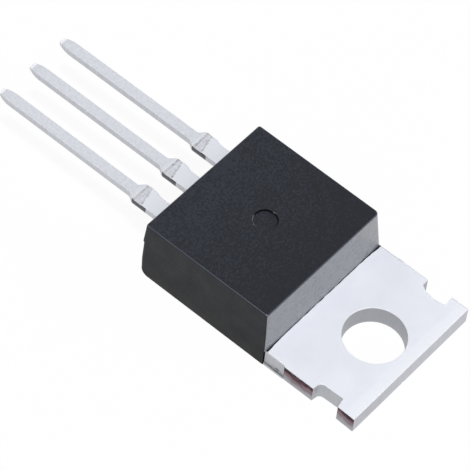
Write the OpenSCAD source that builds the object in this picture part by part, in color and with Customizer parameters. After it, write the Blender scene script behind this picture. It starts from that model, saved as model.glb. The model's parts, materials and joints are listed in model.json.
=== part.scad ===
// Three-lead power transistor in a TO-220AB case, lying on its mounting face.
// The origin is the centre of the screw hole on the mounting face, +Y points to the free end of the tab,
// +Z points up through the case, and the three leads run towards -Y.

/* [Tab] */
// Distance by which each sheared edge of the tab lies inside the long side of the body
tab_side_in = 0.05; // [0.03:0.01:0.2]
// Length of the tab from its free end to the mould body
tab_len = 6.36; // [6.1:0.02:6.6]
// Thickness of the tab and of the heat spreader behind it
tab_t = 1.22; // [1.15:0.01:1.32]
// Diameter of the screw hole
hole_d = 3.66; // [3.5:0.02:3.9]
// Distance from the centre of the screw hole to the free end of the tab
hole_to_end = 2.67; // [2.6:0.01:2.9]
// Distance from the free end of the tab to the near side of each edge notch
notch_to_end = 1.2; // [1.1:0.02:1.4]
// Length of each edge notch along the edge of the tab
notch_len = 1.7; // [1.5:0.02:1.8]
// Depth of the notch on the source lead's side
right_notch_depth = 0.62; // [0.5:0.02:0.8]
// Depth of the notch on the gate lead's side
left_notch_depth = 0.78; // [0.5:0.02:0.9]
// Rounding of the inner corner towards the body, on the source lead's side
right_notch_r = 0.32; // [0.2:0.02:0.5]
// Rounding of the inner corner towards the body, on the gate lead's side
left_notch_r = 0.46; // [0.2:0.02:0.6]
// Rounding of the inner corner towards the tab's free end
notch_far_r = 0.12; // [0.05:0.01:0.3]
// Angle by which the notch opens towards the edge on its side near the tab's free end
notch_slant = 12; // [5:1:20]
// Length of the plated edge between the mould body and the sheared edge
plated_len = 1.41; // [1.0:0.01:1.8]
// How far the sheared edges stand proud of the plated edge
shear_proud = 0.03; // [0.01:0.01:0.06]

/* [Heat spreader inside the body] */
// Thickness of the moulding between the heat spreader and each long side of the body
side_wall = 0.79; // [0.65:0.01:1.0]
// Distance from the inner end of the heat spreader to the face that the leads leave
spreader_to_leads = 3.12; // [3.0:0.02:3.3]
// Width of the step along each side that locks the spreader in the moulding
lock_w = 0.4; // [0.2:0.02:0.6]
// Height of that step above the mounting face
lock_h = 0.5; // [0.3:0.02:0.7]
// Width of the groove across the spreader that keeps moisture from the die
groove_w = 0.4; // [0.2:0.02:0.6]
// Depth of the moisture groove
groove_depth = 0.15; // [0.05:0.01:0.25]
// Distance from the tab-end face of the body to the middle of the moisture groove
groove_in = 0.75; // [0.6:0.05:1.0]

/* [Mould body] */
// Width of the body at its foot
body_w = 10.08; // [10.0:0.02:10.6]
// Length of the body along its foot line
body_len = 9.12; // [8.7:0.02:9.3]
// Height of the body above the mounting face
body_h = 4.2; // [4.1:0.02:4.7]
// Draft angle of the long sides above the level of the tab
side_draft = 5.5; // [2:0.1:8]
// Draft angle of the face above the tab
end_draft = 5.4; // [2:0.1:8]
// Draft angle of the face that the leads leave, to each side of the parting line
lead_draft = 1.3; // [0.5:0.1:4]
// Rounding of the upright corners
corner_r = 0.28; // [0.1:0.01:0.4]
// Rounding of the edges round the top face
top_r = 0.12; // [0.05:0.01:0.2]
// Rounding of the lower edge under the leads
heel_r = 0.32; // [0.1:0.02:0.5]
// Diameter of the ejector pin mark in the top face
ejector_d = 1.46; // [1.0:0.02:2.0]
// Distance from the tab-end face of the body to the middle of the ejector pin mark
ejector_in = 4.54; // [3.5:0.02:6.0]
// Depth of the ejector pin mark
ejector_depth = 0.06; // [0.02:0.01:0.12]

/* [Leads] */
// Distance between the middles of neighbouring leads
lead_pitch = 2.54; // [2.5:0.01:2.6]
// Height of the middle of the leads above the mounting face
lead_mid = 2.47; // [2.3:0.01:2.75]
// Thickness of the leads
lead_t = 0.46; // [0.4:0.01:0.56]
// Width of the narrow run of each lead
lead_w = 0.72; // [0.65:0.01:0.93]
// Length of each lead from the foot line of the body to its tip
lead_len = 12.94; // [12.0:0.02:14.0]
// Width of each lead from the body to the cut dam bar
neck_w = 1.19; // [1.0:0.01:1.3]
// How far the stub of the cut dam bar stands out past the neck on the gate lead's side
stub_proud = 0.15; // [0.05:0.01:0.25]
// Distance from the body to the start of the dam bar stub
stub_near = 1.2; // [1.0:0.01:1.7]
// Length over which the stub rises from the neck to its full width
stub_rise = 0.6; // [0.2:0.02:0.8]
// Length of the dam bar stub along the lead with its rise
stub_len = 1.16; // [0.9:0.02:1.4]
// Length of the curved shoulder from the stub down to the narrow run
shoulder_len = 0.52; // [0.4:0.02:0.8]
// Length of the tapered tip
tip_len = 0.85; // [0.5:0.05:1.0]
// Width of the blunt end of the tip
tip_w = 0.34; // [0.2:0.02:0.5]
// Thickness of the blunt end of the tip
tip_t = 0.24; // [0.15:0.01:0.4]

/* [Leads inside the body] */
// Length of the neck inside the body before each outer lead widens to its bond post
post_in = 0.85; // [0.75:0.05:1.0]
// Length of each bond post along the lead
post_len = 1.45; // [1.2:0.05:1.6]
// Gap between each bond post and the middle lead
post_gap = 0.6; // [0.4:0.02:0.8]
// Distance from each bond post to the long side of the body
post_side = 0.95; // [0.7:0.05:1.2]
// Diameter of the half-round bites in each outer neck that anchor it in the moulding
anchor_d = 0.4; // [0.3:0.02:0.5]
// Width of the middle lead where it joins the heat spreader
ramp_w = 1.5; // [1.3:0.05:1.7]
// Length of the flat stretch of the middle lead inside the body
ramp_in = 1.15; // [1.0:0.05:1.4]

/* [Die and bond wires] */
// Length of the silicon die along the case
die_len = 2.9; // [2.4:0.05:3.2]
// Width of the silicon die
die_w = 2.3; // [2.0:0.05:2.8]
// Thickness of the silicon die
die_t = 0.25; // [0.15:0.01:0.35]
// Thickness of the solder under the die
solder_t = 0.05; // [0.03:0.01:0.08]
// How far the solder reaches past each side of the die
solder_margin = 0.12; // [0.05:0.01:0.25]
// Diameter of the source bond wire
source_wire_d = 0.38; // [0.25:0.01:0.5]
// Diameter of the gate bond wire
gate_wire_d = 0.15; // [0.12:0.01:0.2]
// Height of each bond wire's loop over its higher pad, before its bends are rounded
wire_loop_h = 0.7; // [0.5:0.05:0.8]
// Share of its radius by which each wire is pressed flat on its pads
wire_press = 0.25; // [0.15:0.05:0.4]

/* [Hidden] */

// Smoothness of true round surfaces, and the number of steps in a small rounded edge, in a rounded corner
// and in an S-shaped edge
$fn = 64;
round_steps = 5;
corner_steps = 4;
s_steps = 6;
// Reach of a cutting solid past the surface that it cuts, and of one stretch of a piece into the next
past = 1;
lap = 0.1;

// Widths that follow the width of the body
tab_w = body_w - 2 * tab_side_in;
spreader_w = body_w - 2 * side_wall;

// Stations along the case
tab_end_y = hole_to_end;
body_tab_y = hole_to_end - tab_len;
body_lead_y = body_tab_y - body_len;
lead_tip_y = body_lead_y - lead_len;
ejector_y = body_tab_y - ejector_in;
spreader_end_y = body_lead_y + spreader_to_leads;
groove_y = body_tab_y - groove_in;
stub_near_y = body_lead_y - stub_near;
stub_far_y = stub_near_y - stub_len;
post_near_y = body_lead_y + post_in;
post_far_y = post_near_y + post_len;
ramp_top_y = body_lead_y + ramp_in;

// Levels above the mounting face
lead_low = lead_mid - lead_t / 2;
lead_top = lead_mid + lead_t / 2;
die_low = tab_t + solder_t;
die_top = die_low + die_t;

// How far each lower bend of the ramp lies behind the bend above it
ramp_lean = lead_t / 4;

// The die lies midway between the moisture groove and the inner end of the spreader
die_y = (groove_y - groove_w / 2 + spreader_end_y) / 2;
// Bond pads on the die and on the two posts
post_inner_x = ramp_w / 2 + post_gap;
post_outer_x = body_w / 2 - post_side;
post_x = (post_inner_x + post_outer_x) / 2;
post_y = (post_near_y + post_far_y) / 2;
source_pad = [die_w * 0.12, die_y + die_len * 0.05];
gate_pad = [-die_w * 0.3, die_y - die_len * 0.32];
// Length of a pressed wire foot and radius of the wire bends, in wire diameters
foot_share = 1.8;
bend_share = 1.5;
// Flats round a wire and steps in each of its bends
wire_sides = 12;
bend_steps = 3;

function mix(a, b, t) = a + (b - a) * t;

// Corner points of a rounded rectangle that spans x0..x1 and y0..y1 at height z
function ring(x0, x1, y0, y1, r, z) = [
    for (corner = [[x1 - r, y1 - r, 0], [x0 + r, y1 - r, 90], [x0 + r, y0 + r, 180], [x1 - r, y0 + r, 270]])
        for (i = [0 : corner_steps])
            let (a = corner[2] + 90 * i / corner_steps)
                [corner[0] + r * cos(a), corner[1] + r * sin(a), z]
];

// Skin over a stack of rings that have the same number of points, closed at both ends
module skin(rings) {
    n = len(rings[0]);
    count = len(rings);
    points = [for (row = rings) each row];
    walls = [
        for (k = [0 : count - 2]) for (i = [0 : n - 1])
            let (j = (i + 1) % n, low = k * n, high = (k + 1) * n)
                each [[low + i, high + i, high + j], [low + i, high + j, low + j]]
    ];
    bottom = [[for (i = [0 : n - 1]) i]];
    top = [[for (i = [n - 1 : -1 : 0]) (count - 1) * n + i]];
    polyhedron(points = points, faces = concat(bottom, walls, top));
}

// Half width of the body and the places of its two end faces at height z
function side_x(z) = body_w / 2 - max(0, z - tab_t) * tan(side_draft);
function tab_face_y(z) = body_tab_y - max(0, z - tab_t) * tan(end_draft);
function lead_face_y(z) = body_lead_y - (lead_mid - abs(z - lead_mid)) * tan(lead_draft);

// Section of the body at height z, with its lead end drawn in by heel and all its faces by inset
function body_ring(z, heel, inset) = ring(
    -side_x(z) + inset, side_x(z) - inset, lead_face_y(z) + heel + inset, tab_face_y(z) - inset, corner_r, z
);

// Outer shape of the moulding: drafted faces, round upright corners, a round heel and round top edges
module body_outline() {
    heel_rings = [
        for (i = [0 : round_steps])
            let (a = 90 * i / round_steps)
                body_ring(heel_r * (1 - cos(a)), heel_r * (1 - sin(a)), 0)
    ];
    upright_rings = [for (z = [tab_t, lead_mid]) body_ring(z, 0, 0)];
    top_rings = [
        for (i = [0 : round_steps])
            let (a = 90 * i / round_steps)
                body_ring(body_h - top_r * (1 - sin(a)), 0, top_r * (1 - cos(a)))
    ];
    skin(concat(heel_rings, upright_rings, top_rings));
}

// The black epoxy moulding, closed tightly round all that it holds
module mould_body() {
    color([0.19, 0.19, 0.2])
        difference() {
            body_outline();
            tab_and_drain_lead();
            gate_lead();
            source_lead();
            die();
            die_solder();
            gate_wire_round();
            source_wire_round();
            translate([0, ejector_y, body_h - ejector_depth])
                cylinder(h = ejector_depth + past, d = ejector_d);
        }
}

// Points of a smooth S from one point of an edge to another, both ends along Y
function s_curve(from, to) = [
    for (i = [0 : s_steps])
        [mix(from[0], to[0], (1 - cos(180 * i / s_steps)) / 2), mix(from[1], to[1], i / s_steps)]
];

// One edge of a lead from inside the body to the tip, with its stub standing out by proud past the neck
function lead_edge(proud) = concat(
    [[neck_w / 2, body_lead_y + lap]],
    s_curve([neck_w / 2, stub_near_y], [neck_w / 2 + proud, stub_near_y - stub_rise]),
    s_curve([neck_w / 2 + proud, stub_far_y], [lead_w / 2, stub_far_y - shoulder_len]),
    [[lead_w / 2, lead_tip_y + tip_len], [tip_w / 2, lead_tip_y]]
);

// Plan of one lead outside the body. The punch that cut the dam bar stood a little to the right, so the
// right edge is flush with the neck and the stub is left on the left edge only
module lead_plan() {
    right = lead_edge(0);
    left = lead_edge(stub_proud);
    polygon(concat(right, [for (i = [len(left) - 1 : -1 : 0]) [-left[i][0], left[i][1]]]));
}

// Side view of one lead in the plane of Y and Z, from its tip to the inner station far_y
module lead_side(far_y) {
    polygon([
        [lead_tip_y, lead_mid - tip_t / 2], [lead_tip_y + tip_len, lead_low], [far_y, lead_low],
        [far_y, lead_top], [lead_tip_y + tip_len, lead_top], [lead_tip_y, lead_mid + tip_t / 2]
    ]);
}

// Stands a drawing in the plane of Y and Z upright and gives it a width along X
module across(width) {
    translate([-width / 2, 0, 0])
        rotate([90, 0, 90])
            linear_extrude(height = width)
                children();
}

// The stretch of a lead that shows outside the body, tapered at its tip in plan and from the side
module outer_lead() {
    intersection() {
        linear_extrude(height = body_h)
            lead_plan();
        across(2 * neck_w)
            lead_side(body_lead_y + lap);
    }
}

// Outer lead with its bond post inside the body; side is -1 for the gate and 1 for the source
module post_lead(side) {
    translate([side * lead_pitch, 0, 0])
        outer_lead();
    mirror([side < 0 ? 1 : 0, 0, 0])
        translate([0, 0, lead_low])
            linear_extrude(height = lead_t)
                difference() {
                    union() {
                        translate([lead_pitch - neck_w / 2, body_lead_y])
                            square([neck_w, post_in + lap]);
                        translate([post_inner_x, post_near_y])
                            square([post_outer_x - post_inner_x, post_len]);
                    }
                    for (edge = [-1, 1])
                        translate([lead_pitch + edge * neck_w / 2, body_lead_y + (post_in + lap) / 2])
                            circle(d = anchor_d);
                }
}

module gate_lead() {
    color([0.82, 0.83, 0.86])
        post_lead(-1);
}

module source_lead() {
    color([0.82, 0.83, 0.86])
        post_lead(1);
}

// Points of an arc round a centre from one angle to another
function arc(centre, r, from, to) = [
    for (i = [0 : corner_steps])
        let (a = mix(from, to, i / corner_steps))
            [centre[0] + r * cos(a), centre[1] + r * sin(a)]
];

// Plan of the notch in the right edge of the tab: round towards the body, and open towards the free end
module notch_plan(depth, r) {
    far = tab_end_y - notch_to_end;
    near = far - notch_len;
    inner = tab_w / 2 - depth;
    inner_far = far - depth * tan(notch_slant);
    polygon(concat(
        [[tab_w / 2 + past, near]],
        arc([inner + r, near + r], r, 270, 180),
        arc([inner + notch_far_r, inner_far - notch_far_r], notch_far_r, 180, 90 + notch_slant),
        [[tab_w / 2, far], [tab_w / 2 + past, far]]
    ));
}

// The tab outside the body, with its screw hole, edge notches and sheared edges
module tab_plate() {
    plated_w = tab_w - 2 * shear_proud;
    difference() {
        linear_extrude(height = tab_t)
            difference() {
                union() {
                    translate([-plated_w / 2, body_tab_y])
                        square([plated_w, tab_len]);
                    translate([-tab_w / 2, body_tab_y + plated_len])
                        square([tab_w, tab_len - plated_len]);
                }
                notch_plan(right_notch_depth, right_notch_r);
                mirror([1, 0])
                    notch_plan(left_notch_depth, left_notch_r);
            }
        translate([0, 0, -past])
            cylinder(h = tab_t + 2 * past, d = hole_d);
    }
}

// The heat spreader inside the body, with a lock step along each side and a moisture groove on top
module spreader() {
    pad_w = spreader_w - 2 * lock_w;
    spreader_len = body_tab_y + lap - spreader_end_y;
    difference() {
        union() {
            translate([-pad_w / 2, spreader_end_y, 0])
                cube([pad_w, spreader_len, tab_t]);
            translate([-spreader_w / 2, spreader_end_y, lock_h])
                cube([spreader_w, spreader_len, tab_t - lock_h]);
        }
        translate([-spreader_w / 2 - past, groove_y, tab_t])
            rotate([0, 90, 0])
                linear_extrude(height = spreader_w + 2 * past)
                    polygon([[groove_depth, 0], [-groove_depth, groove_w], [-groove_depth, -groove_w]]);
    }
}

// The ramp that joins the middle lead to the heat spreader
module ramp() {
    neck_end_y = body_lead_y + post_in;
    across(ramp_w)
        polygon([
            [spreader_end_y + lap, tab_t - lead_t], [spreader_end_y + lap, tab_t],
            [spreader_end_y - ramp_lean, tab_t], [ramp_top_y, lead_top], [neck_end_y, lead_top],
            [neck_end_y, lead_low], [ramp_top_y - ramp_lean, lead_low],
            [spreader_end_y - 2 * ramp_lean, tab_t - lead_t]
        ]);
}

// Tab, heat spreader and drain lead are one piece of the copper lead frame
module tab_and_drain_lead() {
    color([0.85, 0.86, 0.89]) {
        tab_plate();
        spreader();
        ramp();
        outer_lead();
        translate([-neck_w / 2, body_lead_y, lead_low])
            cube([neck_w, post_in + lap, lead_t]);
    }
}

module die() {
    color([0.35, 0.37, 0.42])
        translate([-die_w / 2, die_y - die_len / 2, die_low])
            cube([die_w, die_len, die_t]);
}

module die_solder() {
    size = [die_w + 2 * solder_margin, die_len + 2 * solder_margin, solder_t];
    color([0.62, 0.63, 0.65])
        translate([-size[0] / 2, die_y - size[1] / 2, tab_t])
            cube(size);
}

// Path of a bond wire in its own upright plane, as [distance, height, heading]: a foot, a rise, a crown,
// a fall and a second foot. It starts over the first pad and ends over the second, rise_z higher
function wire_path(span, rise_z, foot, bend) =
    let (
        slope = atan((rise_z + 2 * wire_loop_h) / (span - foot)),
        bend_x = bend * sin(slope),
        bend_z = bend * (1 - cos(slope)),
        up_run = ((span - foot - 4 * bend_x) / cos(slope) + rise_z / sin(slope)) / 2,
        crown = [foot / 2 + 2 * bend_x + up_run * cos(slope), 2 * bend_z + up_run * sin(slope)],
        landing = [span - foot / 2, rise_z]
    )
    concat(
        [[-foot / 2, 0, 0]],
        [for (i = [0 : bend_steps]) wire_bend([foot / 2, 0], bend, slope * i / bend_steps)],
        [for (i = [bend_steps : -1 : -bend_steps]) wire_bend(crown, -bend, slope * i / bend_steps)],
        [for (i = [-bend_steps : 0]) wire_bend(landing, bend, slope * i / bend_steps)],
        [[span + foot / 2, rise_z, 0]]
    );

// Station of a wire where it has turned to heading a on a bend that is level at the point foot
function wire_bend(foot, bend, a) = [foot[0] + bend * sin(a), foot[1] + bend * (1 - cos(a)), a];

// Ring of points round one station of a wire's path
function wire_ring(station, r) = [
    for (i = [0 : wire_sides - 1])
        let (a = 360 * (i + 0.5) / wire_sides, out = r * sin(a))
            [station[0] - out * sin(station[2]), r * cos(a), station[1] + out * cos(station[2])]
];

// Round bond wire from one pad to another. Each foot is sunk in its pad by wire_press of its radius,
// so that the pad cuts it flat
module wire_loop(from, from_z, to, to_z, d) {
    path = wire_path(norm(to - from), to_z - from_z, d * foot_share, d * bend_share);
    translate([from[0], from[1], from_z + d / 2 * (1 - wire_press)])
        rotate([0, 0, atan2(to[1] - from[1], to[0] - from[0])])
            skin([for (station = path) wire_ring(station, d / 2)]);
}

module gate_wire_round() {
    wire_loop(gate_pad, die_top, [-post_x, post_y], lead_top, gate_wire_d);
}

module source_wire_round() {
    wire_loop(source_pad, die_top, [post_x, post_y], lead_top, source_wire_d);
}

module gate_wire() {
    color([0.8, 0.8, 0.82])
        difference() {
            gate_wire_round();
            die();
            gate_lead();
        }
}

module source_wire() {
    color([0.8, 0.8, 0.82])
        difference() {
            source_wire_round();
            die();
            source_lead();
        }
}

mould_body();
tab_and_drain_lead();
gate_lead();
source_lead();
die();
die_solder();
gate_wire();
source_wire();
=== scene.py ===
"""Dressed model of a three-lead power transistor in a TO-220AB case, lying on its mounting face.

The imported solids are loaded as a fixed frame. Finer meshes of the moulding, the tab and the leads stand for
them, each surface gets the finish of the real one, and a camera looks from the photograph's place.
Lengths are written in millimetres and turned to metres where a mesh is made.
"""

import json
import logging
import math
from dataclasses import dataclass, field
from enum import Enum
from typing import Iterable, Sequence

import bmesh
import bpy
from mathutils import Euler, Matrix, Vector, noise


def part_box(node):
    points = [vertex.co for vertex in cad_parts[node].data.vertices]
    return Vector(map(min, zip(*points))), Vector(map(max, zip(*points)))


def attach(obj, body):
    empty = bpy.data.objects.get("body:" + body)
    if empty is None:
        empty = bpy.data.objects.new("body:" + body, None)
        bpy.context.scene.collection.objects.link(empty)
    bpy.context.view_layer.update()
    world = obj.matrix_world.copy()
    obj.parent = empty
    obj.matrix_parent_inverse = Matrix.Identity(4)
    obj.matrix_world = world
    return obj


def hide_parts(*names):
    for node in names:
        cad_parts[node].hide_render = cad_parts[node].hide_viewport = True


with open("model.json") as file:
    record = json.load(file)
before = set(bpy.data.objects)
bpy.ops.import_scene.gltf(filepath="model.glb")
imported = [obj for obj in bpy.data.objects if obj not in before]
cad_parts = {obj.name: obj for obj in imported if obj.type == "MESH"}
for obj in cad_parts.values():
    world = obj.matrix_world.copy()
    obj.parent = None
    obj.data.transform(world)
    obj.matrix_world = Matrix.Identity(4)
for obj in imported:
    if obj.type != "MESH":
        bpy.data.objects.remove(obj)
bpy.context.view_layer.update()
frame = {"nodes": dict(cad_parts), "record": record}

LOG = logging.getLogger("power_transistor")
MM = 0.001
BODY = "root"
# Lead pitch of the standard outline
PITCH_MM = 2.54
# Points closer than this are merged
MERGE_MM = 0.0002
SHARP_EDGE_DEG = 38.0
# Upward share of a normal from which a face counts as level and is shaded flat
LEVEL_FACE = 0.9999
# Values between which nearly all of a noise lies
NOISE_LOW = 0.3
NOISE_HIGH = 0.7
# Share of a spot's reach inside which it shows in full
SPOT_CORE = 0.55

Point = tuple[float, float, float]
Flat = tuple[float, float]
# Place from 0 to 1 and hex colour of each stop of a colour ramp
Stops = Sequence[tuple[float, str]]
Tree = bpy.types.NodeTree
Socket = bpy.types.NodeSocket
# What a number input of a node takes
Source = bpy.types.NodeSocket | float
Material = bpy.types.Material
Piece = bpy.types.Object


def linear(hex_colour: str) -> tuple[float, float, float, float]:
    """Turns an sRGB hex colour into the linear colour that shaders work in, by the standard's curve.

    Args:
        hex_colour: Six hex digits after a hash sign.

    Returns:
        Linear red, green, blue and an alpha of 1.
    """
    channels = [int(hex_colour[i : i + 2], 16) / 255 for i in (1, 3, 5)]
    bent = [c / 12.92 if c <= 0.04045 else ((c + 0.055) / 1.055) ** 2.4 for c in channels]
    return (bent[0], bent[1], bent[2], 1.0)


def add_node(tree: Tree, kind: str, inputs: dict | None = None, **settings) -> bpy.types.Node:
    """Adds one node to a tree, sets it up and links it.

    Args:
        tree: The tree that gets the node.
        kind: The node's type.
        inputs: For each input, by name or place, a socket or node to link from, or a plain value.
        **settings: Attributes of the node itself.

    Returns:
        The new node.
    """
    node = tree.nodes.new(kind)
    for name, value in settings.items():
        setattr(node, name, value)
    for place, source in (inputs or {}).items():
        if isinstance(source, bpy.types.Node):
            source = source.outputs[0]
        if isinstance(source, Socket):
            tree.links.new(source, node.inputs[place])
        else:
            node.inputs[place].default_value = source
    return node


def reckon(tree: Tree, operation: str, *values: Source) -> Socket:
    """Adds a Math node.

    Args:
        tree: The tree that gets it.
        operation: What it works out.
        *values: Its inputs in order.

    Returns:
        The result.
    """
    return add_node(tree, "ShaderNodeMath", dict(enumerate(values)), operation=operation).outputs[0]


def remap(
    tree: Tree, value: Socket, low: Source = 0.0, high: Source = 1.0, start: Source = 0.0, end: Source = 1.0,
    eased: bool = False,
) -> Socket:
    """Adds a Map Range node.

    Args:
        tree: The tree that gets it.
        value: What is mapped.
        low: The value that gives the start.
        high: The value that gives the end.
        start: The result at and beyond the low value.
        end: The result at and beyond the high value.
        eased: Whether the result leaves both softly.

    Returns:
        The result.
    """
    kind = "SMOOTHSTEP" if eased else "LINEAR"
    inputs = {0: value, 1: low, 2: high, 3: start, 4: end}
    return add_node(tree, "ShaderNodeMapRange", inputs, interpolation_type=kind).outputs[0]


class Surface:
    """A material under construction: its principled shader and its coordinates in millimetres."""

    def __init__(self, name: str, roughness: float, metallic: float = 0.0) -> None:
        """Starts the material.

        Args:
            name: The real material and how its surface was made.
            roughness: Roughness of the whole surface, unless a node drives it.
            metallic: Share of its light that it mirrors as a metal.
        """
        self.material = bpy.data.materials.new(name)
        self.material.use_nodes = True
        self.tree = self.material.node_tree
        self.shader = self.tree.nodes["Principled BSDF"]
        self.shader.inputs["Roughness"].default_value = roughness
        self.shader.inputs["Metallic"].default_value = metallic
        metres = add_node(self.tree, "ShaderNodeTexCoord").outputs["Object"]
        self.place = self.mapped(metres, (1 / MM, 1 / MM, 1 / MM))

    def mapped(self, source: Socket, scale: Point) -> Socket:
        """Scales coordinates along each axis."""
        return add_node(self.tree, "ShaderNodeMapping", {0: source, "Scale": scale}).outputs[0]

    def grain(self, size_mm: float, stretch: Point = (1, 1, 1), detail: float = 2.0) -> Socket:
        """Adds a noise.

        Args:
            size_mm: Size of one mottle or grain.
            stretch: How many times longer the grain is along each axis.
            detail: Finer octaves added to it.

        Returns:
            The noise's value, around 0.5.
        """
        place = self.mapped(self.place, tuple(1 / s for s in stretch))
        inputs = {"Vector": place, "Scale": 1 / size_mm, "Detail": detail}
        return add_node(self.tree, "ShaderNodeTexNoise", inputs).outputs["Fac"]

    def spot(self, middle: Point, reach: Point) -> Socket:
        """Marks one oval spot.

        Args:
            middle: Place of its middle, in millimetres.
            reach: Half its size along each axis.

        Returns:
            1 in the spot and 0 outside it.
        """
        inputs = {0: self.place, "Location": middle, "Scale": reach}
        place = add_node(self.tree, "ShaderNodeMapping", inputs, vector_type="TEXTURE")
        away = add_node(self.tree, "ShaderNodeVectorMath", {0: place}, operation="LENGTH").outputs["Value"]
        return remap(self.tree, away, SPOT_CORE, 1.0, 1.0, 0.0)

    def level(self, low_mm: float, high_mm: float, axis: str = "Z") -> Socket:
        """Measures a place along one axis.

        Args:
            low_mm: Place that gives 0.
            high_mm: Place that gives 1.
            axis: X, Y or Z.

        Returns:
            The place between the two, from 0 to 1.
        """
        split = add_node(self.tree, "ShaderNodeSeparateXYZ", {0: self.place})
        return remap(self.tree, split.outputs[axis], low_mm, high_mm)

    def blend(self, parts: Iterable[tuple[Socket, float]]) -> Socket:
        """Adds up several values by their shares.

        Args:
            parts: Each value and its share.

        Returns:
            The sum.
        """
        total = 0.0
        for value, share in parts:
            total = reckon(self.tree, "MULTIPLY_ADD", value, share, total)
        return total

    def tint(self, value: Socket, stops: Stops) -> None:
        """Colours the surface by a ramp.

        Args:
            value: What picks the place on the ramp.
            stops: Place from 0 to 1 and hex colour of each stop, in rising order.
        """
        ramp = add_node(self.tree, "ShaderNodeValToRGB", {0: value})
        elements = ramp.color_ramp.elements
        while len(elements) < len(stops):
            elements.new(1.0)
        for element, (place, colour) in zip(elements, stops):
            element.position = place
            element.color = linear(colour)
        self.tree.links.new(ramp.outputs[0], self.shader.inputs["Base Color"])

    def sheen(self, level: float, tint: str) -> None:
        """Sets how strongly and in which colour the surface mirrors."""
        self.shader.inputs["Specular IOR Level"].default_value = level
        self.shader.inputs["Specular Tint"].default_value = linear(tint)

    def roughen(self, value: Socket, roughness: Flat) -> None:
        """Lets a noise move the roughness.

        Args:
            value: The noise.
            roughness: Roughness where the noise is weak and where it is strong.
        """
        driven = remap(self.tree, value, NOISE_LOW, NOISE_HIGH, *roughness)
        self.tree.links.new(driven, self.shader.inputs["Roughness"])

    def bump(self, height: Socket, depth_mm: float) -> None:
        """Gives the surface a relief.

        Args:
            height: The relief, from 0 to 1.
            depth_mm: Depth of the relief.
        """
        relief = add_node(self.tree, "ShaderNodeBump", {"Height": height, "Distance": depth_mm * MM})
        self.tree.links.new(relief.outputs[0], self.shader.inputs["Normal"])


@dataclass(frozen=True)
class MattEpoxy:
    """Silica-filled epoxy, moulded in a spark-eroded cavity: a dull charcoal with a fine even grain."""

    name: str = "silica-filled epoxy, moulded matt"
    # Colours from the tab end to the lead end: painted shading, darker towards the tab end and lighter
    # towards the lead end, as the light falls on the top
    stops: Stops = ((0.37, "#010203"), (0.5, "#0c0f15"), (0.63, "#22262b"))
    axis: str = "Y"
    ends: Flat = (-3.6, -12.8)
    sheen_tint: str = "#ebefff"
    mottle_mm: float = 1.2
    mottle_detail: float = 4.0
    # Shares of the painted shading along the case, of the mottle and of the filler's grain in the colour
    shares: tuple[float, float, float] = (0.16, 0.24, 0.6)
    # The eroded grain is about 0.03 mm and is drawn coarser, because a pixel is 0.06 mm
    grain_mm: float = 0.13
    grain_depth_mm: float = 0.012
    roughness: Flat = (0.54, 0.66)
    specular: float = 0.27

    def build(self) -> Material:
        """Makes the material.

        Returns:
            The finished material.
        """
        surface = Surface(self.name, self.roughness[0])
        mottle = surface.grain(self.mottle_mm, detail=self.mottle_detail)
        grain = surface.grain(self.grain_mm)
        # Painted shading: the colour follows the place along the case
        along = surface.level(*self.ends, axis=self.axis)
        surface.tint(surface.blend(zip((along, mottle, grain), self.shares)), self.stops)
        surface.roughen(mottle, self.roughness)
        surface.sheen(self.specular, self.sheen_tint)
        surface.bump(grain, self.grain_depth_mm)
        return surface.material


@dataclass(frozen=True)
class GrainedFinish:
    """A finish whose colour and roughness follow one grain."""

    name: str
    # Colour where the grain is weak, and where it is strong if the surface has two
    dark: str
    light: str | None
    grain_mm: float
    roughness: Flat
    # Places of the two colours in the grain
    places: Flat = (NOISE_LOW, NOISE_HIGH)
    metallic: float = 0.0
    specular: float = 0.5
    sheen_tint: str = "#ffffff"

    def build(self) -> Material:
        """Makes the material.

        Returns:
            The finished material.
        """
        surface = Surface(self.name, self.roughness[0], self.metallic)
        grain = surface.grain(self.grain_mm)
        if self.light:
            surface.tint(grain, list(zip(self.places, (self.dark, self.light))))
        else:
            surface.shader.inputs["Base Color"].default_value = linear(self.dark)
        surface.sheen(self.specular, self.sheen_tint)
        surface.roughen(grain, self.roughness)
        return surface.material


@dataclass(frozen=True)
class RubbedEpoxy(GrainedFinish):
    """The same epoxy on the small round edges, rubbed smooth: it catches a thin line of light."""

    name: str = "silica-filled epoxy, rubbed smooth on its edges"
    dark: str = "#0d0f14"
    light: str = "#13151b"
    grain_mm: float = 0.5
    roughness: Flat = (0.28, 0.4)
    places: Flat = (0.35, 0.65)
    specular: float = 1.0
    sheen_tint: str = "#dfe8ff"


@dataclass(frozen=True)
class PolishedEpoxyPaintedReflection(GrainedFinish):
    """The epoxy against a polished wall, which mirrors the tab softly; its grey colour is a painted
    reflection of the bright tab.
    """

    name: str = "silica-filled epoxy, moulded glossy"
    dark: str = "#8a8c92"
    light: str = "#94969c"
    grain_mm: float = 0.45
    roughness: Flat = (0.24, 0.34)
    specular: float = 0.8


@dataclass(frozen=True)
class GlintPaintedEpoxy(GrainedFinish):
    """Epoxy painted pale at the ejector mark's rim: a thin light grey line that is a painted glint."""

    name: str = "silica-filled epoxy, broken at a burr"
    dark: str = "#3c3d42"
    light: str = "#8f9096"
    grain_mm: float = 0.09
    roughness: Flat = (0.5, 0.7)
    places: Flat = (0.35, 0.65)


@dataclass(frozen=True)
class ShadowPaintedEpoxy(GrainedFinish):
    """Epoxy painted near black with little sheen, round the ejector mark and on the end face beside the tab:
    painted shadow in the mark and in the joint with the tab.
    """

    name: str = "silica-filled epoxy, painted black as shadow"
    dark: str = "#030406"
    light: str | None = None
    grain_mm: float = 0.05
    roughness: Flat = (0.8, 0.95)
    specular: float = 0.08


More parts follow.
